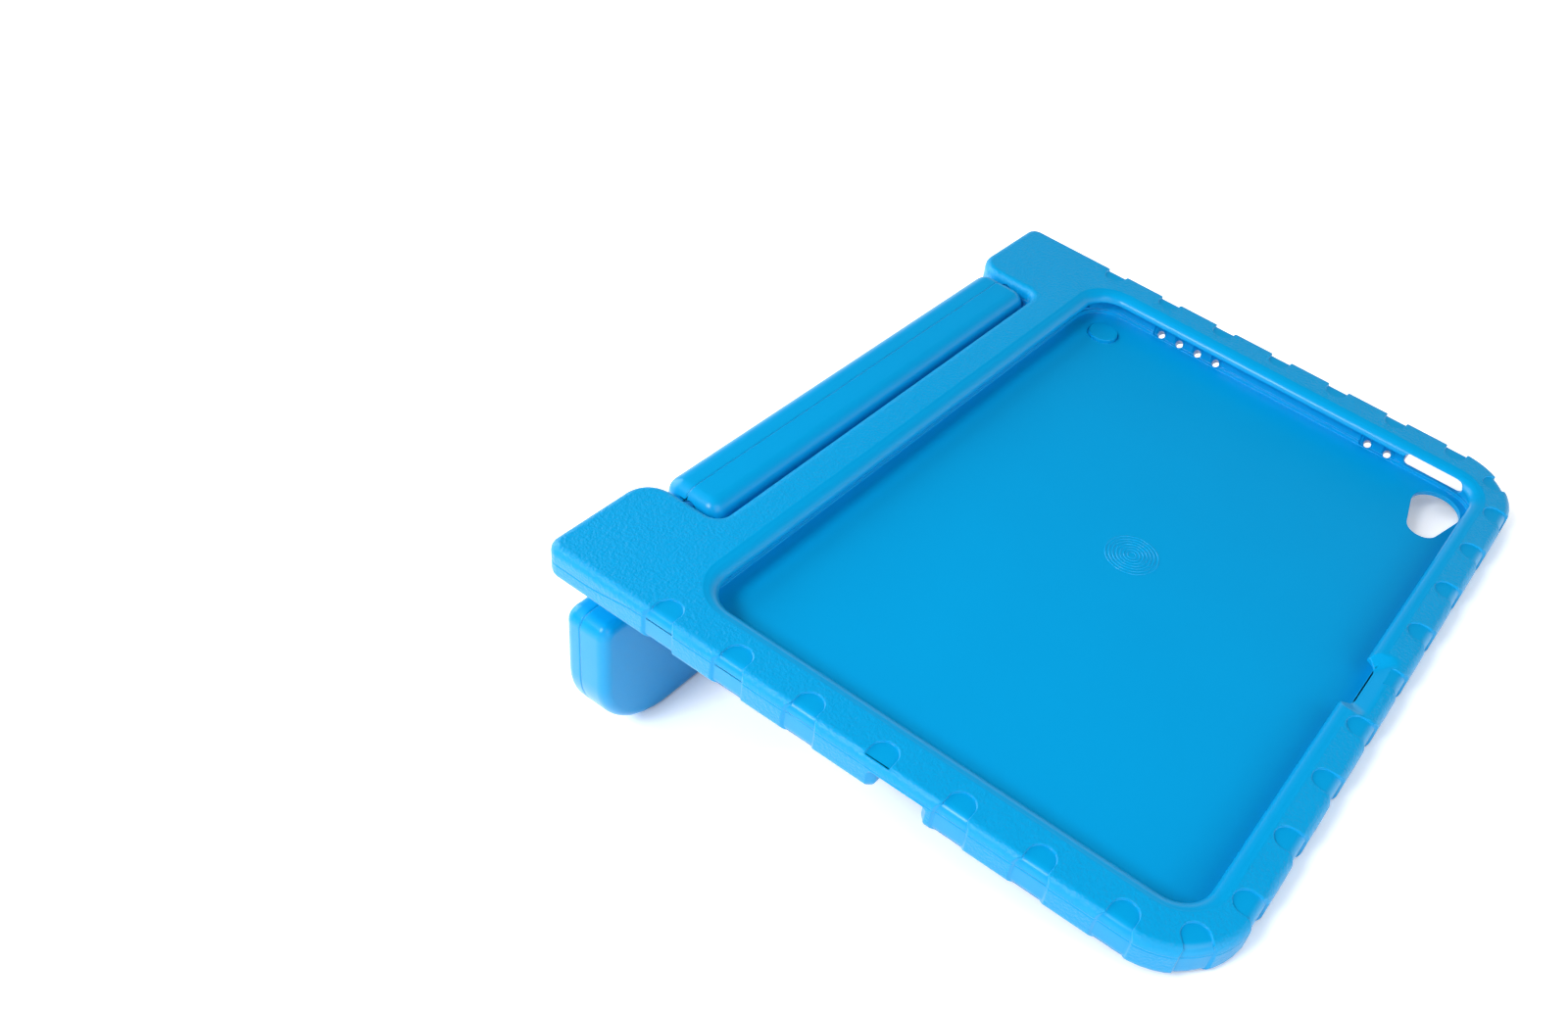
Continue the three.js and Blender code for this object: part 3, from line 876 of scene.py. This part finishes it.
def softbox(name, place, size, power):
    """A square area light, in metres and watts."""
    bpy.ops.object.light_add(type="AREA", location=place)
    light = bpy.context.object
    light.name = name
    light.data.size = size
    light.data.energy = power
    light.rotation_mode = "QUATERNION"
    light.rotation_quaternion = (Vector(SOFTBOX_AIM) - Vector(place)).to_track_quat("-Z", "Y")


def seen_directly(tree):
    """1 for the camera's rays and for those that metal and glass would show, otherwise 0."""
    paths = add_node(tree, "ShaderNodeLightPath").outputs
    seen = add_node(tree, "ShaderNodeMath", {
        0: paths["Is Camera Ray"], 1: paths["Is Glossy Ray"]}, operation="MAXIMUM").outputs[0]
    return add_node(tree, "ShaderNodeMath", {
        0: seen, 1: paths["Is Transmission Ray"]}, operation="MAXIMUM").outputs[0]


def white_sweep():
    """White paper that is plain white 0.4 m out. Near by it glows less, so it keeps the cover's shadow, and
    ambient occlusion dims the glow further, as a painted contact shadow round the cover.
    """
    deselect()
    bpy.ops.mesh.primitive_plane_add(size=6)
    table = bpy.context.object
    table.name = "table"
    paper = bpy.data.materials.new("white_paper_sweep")
    paper.use_nodes = True
    tree = paper.node_tree
    skin = tree.nodes["Principled BSDF"]
    skin.inputs["Base Color"].default_value = linear(PAPER_WHITE)
    skin.inputs["Roughness"].default_value = 0.9
    skin.inputs["Specular IOR Level"].default_value = 0.0
    place = add_node(tree, "ShaderNodeTexCoord").outputs["Object"]
    away = add_node(tree, "ShaderNodeVectorMath", {0: place}, operation="LENGTH")
    white = add_node(tree, "ShaderNodeMapRange", {
        "Value": away.outputs["Value"], 1: 0.1, 2: 0.4, 3: 0.75, 4: 1.0}, interpolation_type="SMOOTHSTEP")
    # Ambient occlusion dims the paper's glow close to the cover: a painted contact shadow.
    painted_contact_shade = add_node(tree, "ShaderNodeAmbientOcclusion", {"Distance": 0.06}, samples=8)
    glow_less_painted_shade = add_node(tree, "ShaderNodeMath", {
        0: white.outputs["Result"], 1: painted_contact_shade.outputs["AO"]}, operation="MULTIPLY")
    glow = add_node(tree, "ShaderNodeMath", {
        0: glow_less_painted_shade.outputs["Value"], 1: seen_directly(tree)}, operation="MULTIPLY")
    skin.inputs["Emission Color"].default_value = (1, 1, 1, 1)
    tree.links.new(glow.outputs["Value"], skin.inputs["Emission Strength"])
    table.data.materials.append(paper)


def white_surroundings():
    """A white backdrop all round, which fades from 13 to 29 degrees above the horizon to a dim ceiling."""
    world = bpy.data.worlds.new("studio")
    world.use_nodes = True
    bpy.context.scene.world = world
    tree = world.node_tree
    way = add_node(tree, "ShaderNodeTexCoord").outputs["Generated"]
    height = add_node(tree, "ShaderNodeSeparateXYZ", {0: way}).outputs["Z"]
    white = add_node(tree, "ShaderNodeMapRange", {
        "Value": height, 1: 0.22, 2: 0.48, 3: 1.0, 4: 0.05}, interpolation_type="SMOOTHSTEP")
    background = tree.nodes["Background"]
    background.inputs["Color"].default_value = (1, 1, 1, 1)
    tree.links.new(white.outputs["Result"], background.inputs["Strength"])


def studio():
    """Softboxes on the left, behind and in front, with white below and all round."""
    for name, place, size, power in SOFTBOXES:
        softbox(name, place, size, power)
    white_surroundings()
    white_sweep()


camera()
studio()
bpy.context.scene.view_settings.view_transform = "Standard"
